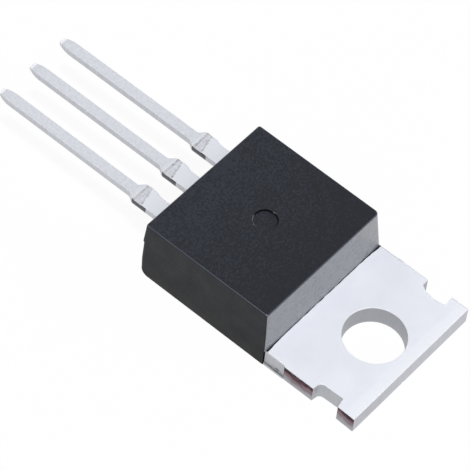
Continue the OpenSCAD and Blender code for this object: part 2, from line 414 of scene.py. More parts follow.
@dataclass(frozen=True)
class RolledTinPaintedHighlight(GrainedFinish):
    """Tin on an edge that the stamping tool rolled over: smoother than the flat beside it, and painted paler
    as a highlight along the edge.
    """

    name: str = "tin, rolled smooth at a stamped edge"
    dark: str = "#eceef4"
    light: str | None = None
    grain_mm: float = 0.3
    roughness: Flat = (0.5, 0.62)
    metallic: float = 0.1


@dataclass(frozen=True)
class SealedMetal(GrainedFinish):
    """A metal that the moulding hides: solder, drawn wire or a metallised die, with its own fine grain."""

    metallic: float = 1.0


@dataclass(frozen=True)
class MattTin:
    """Matt tin plating on rolled copper: a satin, very slightly blue white with an even soft sheen."""

    name: str = "tin, matt plated on copper"
    dark: str = "#dcdfe8"
    light: str = "#e3e6ee"
    # Painted light: a paler colour towards one end, which lightens the tab towards its free end and the
    # leads' necks in the body's shade, and the stations along Y between which it grows
    painted_light: str = "#e8e9ef"
    ends_y: Flat = (1.9, 2.7)
    # Shares of the mottle and of that painted light in the colour, and places of the three colours
    shares: Flat = (0.5, 0.5)
    places: tuple[float, float, float] = (0.15, 0.35, 0.85)
    mottle_mm: float = 1.8
    grain_mm: float = 0.12
    grain_depth_mm: float = 0.0006
    roughness: Flat = (0.7, 0.8)
    # Its crystals scatter most of the light, so it keeps an even tone beside the dark moulding
    metallic: float = 0.08

    def build(self) -> Material:
        """Makes the material.

        Returns:
            The finished material.
        """
        surface = Surface(self.name, self.roughness[0], self.metallic)
        mottle = surface.grain(self.mottle_mm)
        along = surface.level(*self.ends_y, axis="Y")
        colours = (self.dark, self.light, self.painted_light)
        surface.tint(surface.blend(zip((mottle, along), self.shares)), list(zip(self.places, colours)))
        surface.roughen(mottle, self.roughness)
        surface.bump(surface.grain(self.grain_mm), self.grain_depth_mm)
        return surface.material


@dataclass(frozen=True)
class PlatedFlank:
    """Tin over a stamped copper flank: greyer than the flat faces, with faint upright draw lines."""

    name: str = "tin, plated on a stamped flank"
    dark: str = "#b1b3b7"
    light: str = "#bcbec2"
    line_mm: float = 0.14
    # A punch draws its lines through the whole thickness of the sheet
    line_stretch: Point = (1, 1, 8)
    line_depth_mm: float = 0.0006
    roughness: Flat = (0.5, 0.6)
    # Middle and reach of a pit where the plating didn't take
    pit: tuple[Point, Point] | None = None
    pit_colour: str = "#26262b"

    def build(self) -> Material:
        """Makes the material.

        Returns:
            The finished material.
        """
        surface = Surface(self.name, self.roughness[0], metallic=1.0)
        lines = surface.grain(self.line_mm, self.line_stretch)
        shade = lines
        stops = [(NOISE_LOW, self.dark), (NOISE_HIGH, self.light)]
        if self.pit:
            shade = surface.blend([(lines, 1.0), (surface.spot(*self.pit), -1.0)])
            stops.insert(0, (0.0, self.pit_colour))
        surface.tint(shade, stops)
        surface.roughen(lines, self.roughness)
        surface.bump(lines, self.line_depth_mm)
        return surface.material


@dataclass(frozen=True)
class ShearedCopper:
    """Bare copper, sheared after plating and tarnished: a plum burnish above a torn, tin-smeared grey."""

    # Colours from the mounting face up
    stops: Stops = (
        (0.0, "#adadb1"), (0.2, "#a3a0a5"), (0.3, "#8f868c"), (0.4, "#7f6b74"), (0.53, "#8e7a82"),
        (0.64, "#785f67"), (0.72, "#5f434f"), (0.81, "#3a2330"), (0.95, "#2c1a26"), (1.0, "#6f666d"),
    )
    # A shear tears along the edge, so its streaks are long
    streak_mm: float = 0.08
    streak_stretch: Point = (1, 8, 1)
    streak_detail: float = 3.0
    streak_share: float = 0.45
    # The burnished and the torn depth change places along the edge
    wander_mm: float = 1.1
    wander_share: float = 0.8
    tear_depth_mm: float = 0.006
    roughness: Flat = (0.42, 0.62)
    thickness_mm: float = 1.22

    def build(self) -> Material:
        """Makes the material.

        Returns:
            The finished material.
        """
        surface = Surface("copper, sheared bare and tarnished", self.roughness[0], metallic=1.0)
        streaks = surface.grain(self.streak_mm, self.streak_stretch, self.streak_detail)
        wander = surface.grain(self.wander_mm)
        shares = (1.0, self.wander_share, self.streak_share)
        height = surface.blend(zip((surface.level(0, self.thickness_mm), wander, streaks), shares))
        middle = (self.wander_share + self.streak_share) / 2
        surface.tint(remap(surface.tree, height, middle, 1 + middle), self.stops)
        surface.roughen(streaks, self.roughness)
        surface.bump(streaks, self.tear_depth_mm)
        return surface.material


@dataclass(frozen=True)
class CroppedStub:
    """Copper and tin smeared by the dam bar punch: a dull dark grey with a paler torn lower part."""

    stops: Stops = ((0.0, "#8a8a90"), (0.4, "#6a696e"), (0.8, "#55545a"), (1.0, "#3c3b40"))
    low_mm: float = 2.2
    high_mm: float = 2.68
    scratch_mm: float = 0.07
    scratch_stretch: Point = (1, 1, 6)
    scratch_depth_mm: float = 0.006
    roughness: float = 0.5

    def build(self) -> Material:
        """Makes the material.

        Returns:
            The finished material.
        """
        surface = Surface("copper and tin, cropped by a punch", self.roughness, metallic=1.0)
        surface.tint(surface.level(self.low_mm, self.high_mm), self.stops)
        surface.bump(surface.grain(self.scratch_mm, self.scratch_stretch), self.scratch_depth_mm)
        return surface.material


# The drafted sides were eroded finer than the top, so they shine a little more
# Its colour darkens towards the foot of the side
SIDE_EPOXY = MattEpoxy(
    "silica-filled epoxy, moulded on a drafted wall",
    ((0.3, "#010202"), (0.5, "#0a0c10"), (0.7, "#191b20")), axis="Z", ends=(0.3, 2.2),
    shares=(0.45, 0.2, 0.35), specular=0.32, sheen_tint="#fafbff",
)
# The punched hole's wall is painted darker as shade, and the plating is duller on the leads than on the tab
# Painted shade: the lip's foot and top on the plated flanks are painted dark
LIP_SHADE_FLANK = PlatedFlank("tin at the stamped lip, painted dark as shade", "#5c5d61", "#9a9ba0", line_stretch=(1, 3, 1))
SHADED_HOLE_FLANK = PlatedFlank("tin in a punched hole, painted darker as shade", "#a7a9ae", "#b1b3b8")
PITTED_FLANK = PlatedFlank(pit=((4.96, -2.74, 0.44), (0.6, 0.2, 0.055)))
END_FLANK = PlatedFlank("tin, plated on the tab's end", "#bbbcc2", "#c6c7cc")
LEAD_FLANK = PlatedFlank("tin, plated on a lead's flank", "#bfc1c6", "#cbcdd2")
# The leads are painted paler towards their necks, against the body's shadow
LEAD_TIN = MattTin(
    "tin, matt plated on a copper lead", "#c6c9d0", "#d4d7de", "#dee1e8", (-15.4, -14.9), mottle_mm=0.17,
)
COINED_TIN = MattTin("tin, coined by the dam bar punch", "#b9bac2", "#d8dae3", mottle_mm=0.11)
PUNCH_STREAK = MattTin("tin, scraped by the dam bar punch", "#97979c", "#d0d1d6", mottle_mm=0.13)

DIE_SILICON = SealedMetal("silicon, metallised and sawn", "#5b6068", "#6a707a", 0.2, (0.25, 0.35))
SOFT_SOLDER = SealedMetal("lead-free solder, reflowed", "#9a9b9f", "#aeafb3", 0.3, (0.4, 0.55))
DRAWN_ALUMINIUM = SealedMetal("aluminium wire, drawn", "#c9c9cd", "#d8d8dc", 0.05, (0.28, 0.4))


class Edge(Enum):
    """Kinds of edge that run round the tab."""

    PLATED = "plated"
    SHEARED = "sheared"
    NOTCH = "notch"
    END = "end"
    SEAT = "seat"


class Slot(Enum):
    """Order of the finishes on the tab's plate."""

    PLATE = 0
    FLANK = 1
    SHEARED = 2
    BORE_SHADE = 3
    ROLLED_HIGHLIGHT = 4
    SEAM = 5
    END = 6


class Skin(Enum):
    """Order of the finishes on the moulding."""

    TOP = 0
    TAB_END = 1
    ROUNDED = 2
    PAINTED_SHADOW = 3
    SIDE = 4
    PAINTED_GLINT = 5


class Shell:
    """A closed mesh that is built from rings of points, in millimetres."""

    def __init__(self) -> None:
        """Starts an empty mesh."""
        self.bm = bmesh.new()

    def ring(self, points: Iterable[Point]) -> list[bmesh.types.BMVert]:
        """Adds a ring of points.

        Args:
            points: Places in millimetres, in order round the ring.

        Returns:
            The ring's vertices.
        """
        return [self.bm.verts.new(Vector(p) * MM) for p in points]

    def bridge(self, low: Sequence, high: Sequence, slots: Sequence[int] | int = 0) -> None:
        """Joins two rings of the same count by quads.

        Args:
            low: The first ring.
            high: The second ring.
            slots: Material slot of every quad, or one for all.
        """
        count = len(low)
        for i in range(count):
            j = (i + 1) % count
            quad = self.bm.faces.new((low[i], low[j], high[j], high[i]))
            quad.material_index = slots if isinstance(slots, int) else slots[i]

    def cap(self, *rings: Sequence) -> None:
        """Fills a flat area.

        Args:
            *rings: The ring round it and any rings inside it.
        """
        edges = []
        for ring in rings:
            for i, vert in enumerate(ring):
                pair = (vert, ring[(i + 1) % len(ring)])
                edges.append(self.bm.edges.get(pair) or self.bm.edges.new(pair))
        bmesh.ops.triangle_fill(self.bm, use_beauty=True, use_dissolve=False, edges=edges)

    def piece(self, name: str, materials: Sequence[Material]) -> Piece:
        """Turns the rings into an object with outward faces.

        Args:
            name: Name of the piece.
            materials: Its finishes in slot order.

        Returns:
            The object, linked to the scene.
        """
        bmesh.ops.remove_doubles(self.bm, verts=self.bm.verts, dist=MERGE_MM * MM)
        return make_piece(name, self.bm, materials)


def place_mesh(name: str, mesh: bpy.types.Mesh) -> Piece:
    """Makes an object of a mesh at the origin and links it to the scene.

    Args:
        name: Name of the object.
        mesh: Its mesh, in metres.

    Returns:
        The object.
    """
    piece = bpy.data.objects.new(name, mesh)
    bpy.context.scene.collection.objects.link(piece)
    return piece


def make_piece(name: str, bm: bmesh.types.BMesh, materials: Sequence[Material] = ()) -> Piece:
    """Turns a closed mesh under construction into an object with outward faces.

    Args:
        name: Name of the object.
        bm: The mesh, which is freed.
        materials: Its finishes in slot order.

    Returns:
        The object, linked to the scene.
    """
    bmesh.ops.recalc_face_normals(bm, faces=bm.faces)
    mesh = bpy.data.meshes.new(name)
    bm.to_mesh(mesh)
    bm.free()
    for material in materials:
        mesh.materials.append(material)
    return place_mesh(name, mesh)


def smooth(piece: Piece) -> None:
    """Shades a piece smoothly, except over its sharp edges and on its level faces.

    Args:
        piece: The piece.
    """
    piece.data.shade_smooth()
    piece.data.set_sharp_from_angle(angle=math.radians(SHARP_EDGE_DEG))
    for face in piece.data.polygons:
        face.use_smooth = abs(face.normal.z) < LEVEL_FACE


def drop(piece: Piece) -> None:
    """Removes a helper object and its mesh.

    Args:
        piece: The helper.
    """
    mesh = piece.data
    bpy.data.objects.remove(piece)
    bpy.data.meshes.remove(mesh)


def apply_modifiers(piece: Piece) -> None:
    """Turns a piece and its modifiers into a plain mesh.

    Args:
        piece: The piece.
    """
    depsgraph = bpy.context.evaluated_depsgraph_get()
    mesh = bpy.data.meshes.new_from_object(
        piece.evaluated_get(depsgraph), preserve_all_data_layers=True, depsgraph=depsgraph
    )
    piece.modifiers.clear()
    old = piece.data
    piece.data = mesh
    bpy.data.meshes.remove(old)


def combine(piece: Piece, tools: Sequence[Piece], operation: str) -> None:
    """Adds tools to a piece, or cuts them out of it, exactly. The tools are left as they are.

    Args:
        piece: The piece that changes.
        tools: Closed objects.
        operation: UNION or DIFFERENCE.
    """
    for tool in tools:
        modifier = piece.modifiers.new(tool.name, "BOOLEAN")
        modifier.operation = operation
        modifier.solver = "EXACT"
        modifier.material_mode = "TRANSFER" if operation == "UNION" else "INDEX"
        modifier.object = tool
    apply_modifiers(piece)


def cad_copy(node: str, span_mm: Flat | None = None, sink_mm: float = 0.0) -> Piece:
    """Copies a CAD node's solid as a merged, closed mesh.

    Args:
        node: Name of the node.
        span_mm: Two stations along Y. What lies outside them is cut away and the cuts are closed.
        sink_mm: How far the cut at the second station is pushed on, into the piece that the copy joins.

    Returns:
        The copy.
    """
    bm = bmesh.new()
    bm.from_mesh(frame["nodes"][node].data)
    bmesh.ops.remove_doubles(bm, verts=bm.verts, dist=MERGE_MM * MM)
    for station, side in zip(span_mm or (), (-1, 1)):
        cut = bmesh.ops.bisect_plane(
            bm, geom=bm.verts[:] + bm.edges[:] + bm.faces[:], plane_co=(0, station * MM, 0),
            plane_no=(0, side, 0), clear_outer=True, dist=MERGE_MM * MM,
        )
        rim = [e for e in cut["geom_cut"] if isinstance(e, bmesh.types.BMEdge)]
        if rim:
            bmesh.ops.triangle_fill(bm, use_beauty=True, use_dissolve=False, edges=rim)
    if sink_mm:
        for vert in bm.verts:
            if abs(vert.co.y / MM - span_mm[1]) < sink_mm / 4:
                vert.co.y += sink_mm * MM
    return make_piece(f"{node} solid", bm)


@dataclass(frozen=True)
class Case:
    """Places that all pieces share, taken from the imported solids, in millimetres."""

    half_w: float
    height: float
    seat_y: float
    lead_y: float
    tab_end_y: float
    tip_y: float
    tab_t: float
    hole_r: float
    lead_z: Flat

    @classmethod
    def from_frame(cls) -> "Case":
        """Reads the places from the solids' boxes and the record's mounts.

        Returns:
            The case.
        """
        body_low, body_high = (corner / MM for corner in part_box("mould_body"))
        tab_low, tab_high = (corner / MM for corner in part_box("tab_and_drain_lead"))
        gate_low, gate_high = (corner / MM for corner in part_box("gate_lead"))
        bore = frame["record"]["mounts"][0]["dims"]
        return cls(
            half_w=body_high.x, height=body_high.z, seat_y=body_high.y, lead_y=body_low.y,
            tab_end_y=tab_high.y, tip_y=tab_low.y, tab_t=bore["length_mm"], hole_r=bore["r_mm"],
            lead_z=(gate_low.z, gate_high.z),
        )


@dataclass
class Moulding:
    """The epoxy body: drafted faces, small rounded edges and an ejector pin mark in its top face."""

    case: Case
    side_draft_deg: float = 5.5
    end_draft_deg: float = 5.4
    # Draft of the lead end under and over the parting line
    lead_draft_deg: Flat = (1.3, 4.2)
    # Draft of the right side over the parting line, where the upper mould half leans in less
    right_draft_deg: float = 3.4
    # Rounding of the upright corners in the lower and the upper half, anticlockwise from the tab's right
    corner_r: tuple[tuple[float, ...], ...] = ((0.1, 0.28, 0.28, 0.28), (0.1, 0.28, 0.13, 0.13))
    top_r: float = 0.055
    heel_r: float = 0.32
    flat_strip: float = 0.03
    corner_steps: int = 8
    round_steps: int = 5
    ejector_in: float = 4.54
    # Radius and height of each ring of the ejector mark: the rim, the wall and the floor
    ejector_rings: tuple[Flat, ...] = (
        (0.76, 0.0), (0.735, -0.002), (0.72, -0.016), (0.7, -0.034), (0.69, -0.11), (0.675, -0.125),
        (0.62, -0.125),
    )
    # First ring that sinks askew, and share of the depth by which it does
    askew_ring: int = 4
    askew: float = 0.45
    # For each arc of the mark's rim and wall its finish, first and last ring, middle bearing and half sweep;
    # the dark arc is painted shadow and the pale arcs are painted glints
    ejector_arcs: tuple[tuple[Skin, int, int, float, float], ...] = (
        (Skin.ROUNDED, 1, 3, 20, 60), (Skin.PAINTED_GLINT, 1, 3, -45, 32), (Skin.PAINTED_SHADOW, 1, 5, 189, 86),
        (Skin.PAINTED_GLINT, 1, 3, 176, 5), (Skin.PAINTED_GLINT, 0, 1, 165, 5),
    )
    ejector_sides: int = 64
    # Height of the parting line at the leads, and half height and depth of the groove that it leaves
    parting_z: float = 2.68
    parting_half: float = 0.05
    parting_depth: float = 0.04
    # Share of a normal along Y from which a face lies against the tab's end, under and over the tab's top
    foot_share: float = 0.3
    end_share: float = 0.7
    # Upright shares of a normal between which a face belongs to a rounded edge
    round_shares: Flat = (0.5, 0.995)

    def section(self, z: float, heel: float, inset: float) -> list[Point]:
        """Gives the ring of the body at one height.

        Args:
            z: Height.
            heel: How far the lead end is drawn in.
            inset: How far all faces are drawn in.

        Returns:
            The ring's points.
        """
        case = self.case
        drafts = (self.side_draft_deg, self.end_draft_deg, self.right_draft_deg)
        side, end, right = (math.tan(math.radians(draft)) for draft in drafts)
        above_tab = max(0.0, z - case.tab_t)
        is_upper = z > self.parting_z
        x_left = case.half_w - above_tab * side - inset
        x_right = x_left + (side - right) * max(0.0, z - self.parting_z)
        y_far = case.seat_y - above_tab * end - inset
        lead_draft = math.radians(self.lead_draft_deg[is_upper])
        y_near = case.lead_y + abs(z - self.parting_z) * math.tan(lead_draft) + heel + inset
        corners = (
            (x_right, 1, y_far, -1), (x_left, -1, y_far, -1),
            (x_left, -1, y_near, 1), (x_right, 1, y_near, 1),
        )
        points = []
        for quarter, (r, (x, sign, y, inward)) in enumerate(zip(self.corner_r[is_upper], corners)):
            for step in range(self.corner_steps + 1):
                angle = math.radians(90 * (quarter + step / self.corner_steps))
                across = sign * (x - r) + r * math.cos(angle)
                points.append((across, y + inward * r + r * math.sin(angle), z))
        return points

    def levels(self) -> list[Point]:
        """Lists the rings of the body.

        Returns:
            Height, heel and inset of every ring, from the foot up.
        """
        arc = [math.radians(90 * step / self.round_steps) for step in range(self.round_steps + 1)]
        top = self.case.height
        middle = self.parting_z
        half = self.parting_half
        return [
            (0.0, self.heel_r, self.flat_strip),
            *((self.heel_r * (1 - math.cos(a)), self.heel_r * (1 - math.sin(a)), 0.0) for a in arc),
            (self.case.tab_t, 0, 0), (middle - 2 * half, 0, 0), (middle - half, 0, 0),
            (middle, self.parting_depth, 0), (middle + half, 0, 0), (middle + 2 * half, 0, 0),
            (top - self.top_r - self.flat_strip, 0, 0),
            *((top - self.top_r * (1 - math.sin(a)), 0, self.top_r * (1 - math.cos(a))) for a in arc),
            (top, 0, self.top_r + self.flat_strip),
        ]

    def sink_mark(self, shell: Shell, mark_y: float) -> tuple[list, list]:
        """Makes the wall of the ejector mark.

        Args:
            shell: The mesh that gets it.
            mark_y: Place of its middle along the case.

        Returns:
            Its outermost and its innermost ring.
        """
        turn = [2 * math.pi * i / self.ejector_sides for i in range(self.ejector_sides)]
        marks = []
        for i, (radius, rise) in enumerate(self.ejector_rings):
            askew = self.askew if i >= self.askew_ring else 0.0
            marks.append(shell.ring(
                (radius * math.cos(a), mark_y + radius * math.sin(a),
                 self.case.height + rise * (1 - askew * (1 + math.cos(a)) / 2))
                for a in turn
            ))
        for i, (outer, inner) in enumerate(zip(marks, marks[1:])):
            slots = [Skin.TOP.value] * self.ejector_sides
            for skin, first, last, middle, half in self.ejector_arcs:
                for j, a in enumerate(turn):
                    if first <= i < last and abs((math.degrees(a) - middle + 180) % 360 - 180) < half:
                        slots[j] = skin.value
            shell.bridge(outer, inner, slots)
        return marks[0], marks[-1]

    def skin(self, z: float, normal: Vector) -> Skin:
        """Picks the finish of an outer face.

        Args:
            z: Height of its middle.
            normal: Its outward direction.

        Returns:
            The finish.
        """
        tab_t = self.case.tab_t
        shoulder = self.case.height - self.top_r
        round_low, round_high = self.round_shares
        # The end face below the tab's top, beside the tab, is painted black as shadow
        if z < tab_t and normal.y > self.foot_share:
            return Skin.PAINTED_SHADOW
        # The end face over the tab is painted grey with the tab's reflection
        if tab_t < z < shoulder and normal.y > self.end_share:
            return Skin.TAB_END
        if z > shoulder and round_low < abs(normal.z) < round_high:
            return Skin.ROUNDED
        return Skin.SIDE if abs(normal.z) < round_high else Skin.TOP

    def build(self, materials: Sequence[Material]) -> Piece:
        """Makes the outside of the moulding as a closed solid.

        Args:
            materials: Finishes in the order of Skin.

        Returns:
            The moulding, not hollowed yet.
        """
        shell = Shell()
        rings = [shell.ring(self.section(*row)) for row in self.levels()]
        for low, high in zip(rings, rings[1:]):
            shell.bridge(low, high)
        shell.cap(rings[0])
        mark_y = self.case.seat_y - self.ejector_in
        rim, floor = self.sink_mark(shell, mark_y)
        shell.cap(rings[-1], rim)
        shell.cap(floor)
        piece = shell.piece("moulding", materials)
        mark_r = self.ejector_rings[0][0]
        for face in piece.data.polygons:
            off_mark = math.hypot(face.center.x / MM, face.center.y / MM - mark_y) > mark_r
            if off_mark and not face.material_index:
                face.material_index = self.skin(face.center.z / MM, face.normal).value
        return piece


@dataclass(frozen=True)
class Turn:
    """A corner of the tab's outline and the kind of edge that starts there."""

    x: float
    y: float
    radius: float
    edge: Edge


@dataclass(frozen=True)
class Corner:
    """An outward corner of the tab: centre and radius of its arc, and direction and edge on each side."""

    centre: Vector
    radius: float
    sides: tuple[tuple[Vector, Edge], tuple[Vector, Edge]]


@dataclass(frozen=True)
class Station:
    """A point of the tab's outline, with its outward direction scaled for mitres."""

    place: Vector
    out: Vector
    edge: Edge
    corner: Corner | None


@dataclass
class Tab:
    """The mounting tab: a stamped and plated plate with a screw hole, notches and bare sheared edges."""

    case: Case
    step: float = 0.15
    arc_steps: int = 5
    # Radius that a corner keeps where its edges are drawn in beyond its own
    tight_r: float = 0.004
    # Smallest divisor of a mitre, which keeps it short at a sharp turn
    mitre_limit: float = 0.5
    hole_sides: int = 96
    # The left edges were torn last: above this ring they are drawn in by so much more, and wander by so much
    # over such a length
    burr_level: int = 8
    burr_in: float = 0.07
    burr_width: float = 0.05
    burr_mm: float = 0.17
    # Level of a noise above which the burr shows as a dull fleck on the top, and the noise's row and layer
    burr_gap: float = -0.05
    fleck_seed: Flat = (0.5, 3.1)
    # Rings of the stamped lip whose faces are painted dark as shade and contact shadow
    shade_levels: tuple[int, int] = (1, 3)
    # Share of a direction from which an edge faces that way
    slant: float = 0.35
    # Inset and height of the edge at each station from the underside up, for every kind of edge
    profiles: dict[Edge, tuple[Flat, ...]] = field(default_factory=lambda: {
        Edge.PLATED: (
            (0.05, 0), (-0.03, 0), (-0.075, 0.05), (-0.075, 0.2), (0.01, 0.27), (0, 0.32),
            (0, 0.7), (0, 1.1), (0.012, 1.165), (0.04, 1.205), (0.085, 1.22), (0.14, 1.22),
        ),
        Edge.SHEARED: (
            (0.06, 0), (0.025, 0), (0.005, 0.012), (0, 0.06), (0, 0.14), (0, 0.3),
            (0, 0.7), (0, 1.1), (0.002, 1.17), (0.012, 1.205), (0.035, 1.22), (0.08, 1.22),
        ),
        Edge.NOTCH: (
            (0.06, 0), (0.03, 0), (0.008, 0.01), (0, 0.04), (0, 0.14), (0, 0.3),
            (0, 0.7), (0, 1.1), (0.006, 1.18), (0.02, 1.21), (0.045, 1.22), (0.09, 1.22),
        ),
        Edge.END: (
            (0.06, 0), (0.03, 0), (0.008, 0.01), (0, 0.04), (0, 0.14), (0, 0.3),
            (0, 0.7), (0, 1.1), (0.008, 1.17), (0.03, 1.208), (0.065, 1.22), (0.11, 1.22),
        ),
        Edge.SEAT: (
            (0, 0), (0, 0.001), (0, 0.012), (0, 0.06), (0, 0.14), (0, 0.3),
            (0, 0.7), (0, 1.1), (0, 1.17), (0, 1.205), (0, 1.219), (0, 1.22),
        ),
    })
    # How far the bore's foot stands off its rim, because the punch leaned
    hole_lean: Flat = (0.058, 0.04)
    # Radius beyond the hole's own and height, from the underside up
    hole_profile: tuple[Flat, ...] = (
        (0.04, 0), (0, 0), (-0.028, 0.012), (-0.04, 0.05), (-0.04, 0.3),
        (0, 1.13), (0.006, 1.18), (0.022, 1.21), (0.05, 1.22), (0.1, 1.22),
    )

    def turns(self) -> list[Turn]:
        """Lists the corners of the outline.

        Returns:
            The corners, anticlockwise from where the right edge leaves the body.
        """
        seat = self.case.seat_y
        end = self.case.tab_end_y
        return [
            Turn(4.96, seat, 0, Edge.PLATED),
            Turn(4.96, -2.31, 0.02, Edge.SHEARED),
            Turn(4.99, -2.25, 0.02, Edge.SHEARED),
            Turn(4.985, -0.235, 0.03, Edge.NOTCH),
            Turn(4.41, -0.175, 0.32, Edge.NOTCH),
            Turn(4.352, 1.345, 0.06, Edge.NOTCH),
            Turn(4.96, 1.476, 0.04, Edge.SHEARED),
            Turn(4.985, end, 0.03, Edge.END),
            Turn(-4.985, end, 0.04, Edge.SHEARED),
            Turn(-4.975, 1.49, 0.04, Edge.NOTCH),
            Turn(-4.3, 1.55, 0.16, Edge.NOTCH),
            Turn(-4.185, 0.85, 0.3, Edge.NOTCH),
            Turn(-4.27, 0.18, 0.2, Edge.NOTCH),
            Turn(-4.5, -0.19, 0.08, Edge.NOTCH),
            Turn(-4.97, -0.21, 0.04, Edge.SHEARED),
            Turn(-4.99, -2.36, 0.02, Edge.SHEARED),
            Turn(-4.96, -2.42, 0.02, Edge.PLATED),
            Turn(-4.96, seat, 0, Edge.SEAT),
        ]

    def outline(self) -> list[Station]:
        """Walks round the tab.

        Returns:
            The points of its outline, in the same order as the corners.
        """
        turns = self.turns()
        path: list[tuple[Vector, Edge, Corner | None]] = []
        for i, turn in enumerate(turns):
            here = Vector((turn.x, turn.y))
            before = (Vector((turns[i - 1].x, turns[i - 1].y)) - here).normalized()
            following = turns[(i + 1) % len(turns)]
            after_vector = Vector((following.x, following.y)) - here
            after = after_vector.normalized()
            half = before.angle(after) / 2
            reach = turn.radius / math.tan(half) if turn.radius else 0.0
            if turn.radius:
                centre = here + (before + after).normalized() * (turn.radius / math.sin(half))
                start = here + before * reach - centre
                stop = here + after * reach - centre
                sweep = start.angle_signed(stop)
                corner = None
                if before.y * after.x > before.x * after.y:
                    sides = (
                        (Vector((-before.y, before.x)), turns[i - 1].edge),
                        (Vector((after.y, -after.x)), turn.edge),
                    )
                    corner = Corner(centre, turn.radius, sides)
                for step in range(self.arc_steps + 1):
                    angle = -sweep * step / self.arc_steps
                    spun = Vector((start.x * math.cos(angle) - start.y * math.sin(angle),
                                   start.x * math.sin(angle) + start.y * math.cos(angle)))
                    kind = turns[i - 1].edge if step < self.arc_steps / 2 else turn.edge
                    path.append((centre + spun, kind, corner))
            else:
                path.append((here, turn.edge, None))
            first = here + after * (reach + self.step / 2)
            left = after_vector.length - reach - self.step
            count = int(left / self.step)
            for step in range(1, count):
                path.append((first + after * (left * step / count), turn.edge, None))
        walk = []
        for i, (here, kind, corner) in enumerate(path):
            before = (here - path[i - 1][0]).normalized()
            after = (path[(i + 1) % len(path)][0] - here).normalized()
            out = Vector((before.y + after.y, -before.x - after.x))
            out = out / max(self.mitre_limit, out.length_squared / 2)
            if abs(here.y - self.case.seat_y) < MERGE_MM:
                at_end = abs(here.x) > turns[0].x - MERGE_MM
                out = Vector((math.copysign(1.0, here.x), 0.0))
                kind = Edge.PLATED if at_end else Edge.SEAT
            walk.append(Station(here, out, kind, corner))
        return walk

    def inset(self, normal: Vector, y: float, edge: Edge, level: int) -> float:
        """Gives how far an edge is drawn in.

        Args:
            normal: Its outward direction.
            y: Place along the tab, which picks the burr's width.
            edge: Its kind.
            level: Number of the ring, from the underside up.

        Returns:
            The inset.
        """
        inset = self.profiles[edge][level][0]
        if level > self.burr_level and edge is not Edge.PLATED:
            wander = noise.noise(Vector((y / self.burr_mm, level, 0)))
            inset += max(0.0, -normal.x) ** 3 * (self.burr_width * wander + self.burr_in)
        return inset

    def ring_point(self, station: Station, level: int) -> Point:
        """Places one point of a ring round the tab, mitred where the ring lies inside an arc's centre.

        Args:
            station: The point of the outline.
            level: Number of the ring, from the underside up.

        Returns:
            The place.
        """
        corner = station.corner
        drawn_in = self.inset(station.out, station.place.y, station.edge, level)
        place = station.place - station.out * drawn_in
        if corner:
            middle_y = corner.centre.y
            reach = [corner.radius - self.inset(n, middle_y, edge, level) for n, edge in corner.sides]
            if min(reach) < self.tight_r:
                pulled = sum((n * r for (n, _), r in zip(corner.sides, reach)), Vector((0, 0)))
                place = corner.centre + pulled + station.out * self.tight_r
        return (place.x, place.y, self.profiles[station.edge][level][1])

    def finish(self, station: Station, following: Station, level: int, last: int) -> Slot:
        """Picks the finish between two neighbouring stations.

        Args:
            station: The first station.
            following: The next one.
            level: Number of the ring under the face, from the underside up.
            last: Number of the highest ring that has a face over it.

        Returns:
            The finish.
        """
        both = {station.edge, following.edge}
        if level == last and both == {Edge.SHEARED} and station.out.x < 0:
            row, layer = self.fleck_seed
            if noise.noise(Vector((station.place.y / self.burr_mm, row, layer))) > self.burr_gap:
                return Slot.END
        if level in (0, last) or Edge.SEAT in both:
            return Slot.PLATE
        # The rolled top edges are painted paler as a highlight
        if level >= last - 2 and Edge.PLATED not in both:
            return Slot.ROLLED_HIGHLIGHT
        if both == {Edge.PLATED}:
            # The lip's foot and top are painted dark as shade
            return Slot.SEAM if level in self.shade_levels else Slot.FLANK
        # The left notch and the corner beyond it take the bore's painted shade where they face the tab's end
        faces_end = station.place.x < 0 and station.out.y > self.slant
        if faces_end and (station.out.x < -self.slant or Edge.END not in both):
            return Slot.BORE_SHADE
        if both == {Edge.END}:
            return Slot.END
        return Slot.SHEARED if both == {Edge.SHEARED} else Slot.FLANK

    def build(self, materials: Sequence[Material]) -> Piece:
        """Makes the plate with its hole.

        Args:
            materials: Finishes in the order of Slot.

        Returns:
            The plate.
        """
        shell = Shell()
        walk = self.outline()
        rings = [
            shell.ring(self.ring_point(station, level) for station in walk)
            for level in range(len(self.profiles[Edge.END]))
        ]
        last = len(rings) - 2
        for level, (low, high) in enumerate(zip(rings, rings[1:])):
            pairs = zip(walk, walk[1:] + walk[:1])
            shell.bridge(low, high, [self.finish(*pair, level, last).value for pair in pairs])
        bores = []
        turn = [2 * math.pi * i / self.hole_sides for i in range(self.hole_sides)]
        for extra, z in self.hole_profile:
            radius = self.case.hole_r + extra
            x, y = (lean * (1 - z / self.case.tab_t) for lean in self.hole_lean)
            circle = ((x + radius * math.cos(a), y + radius * math.sin(a), z) for a in turn)
            bores.append(shell.ring(circle))
        last = len(bores) - 2
        for level, (low, high) in enumerate(zip(bores, bores[1:])):
            # The bore's wall is painted darker as shade, and its rims paler as a highlight
            slot = Slot.PLATE if level in (0, last) else Slot.ROLLED_HIGHLIGHT if level >= last - 2 else Slot.BORE_SHADE
            shell.bridge(low, high, slot.value)
        shell.cap(rings[-1], bores[-1])
        shell.cap(rings[0], bores[0])
        return shell.piece("tab_plate", materials)


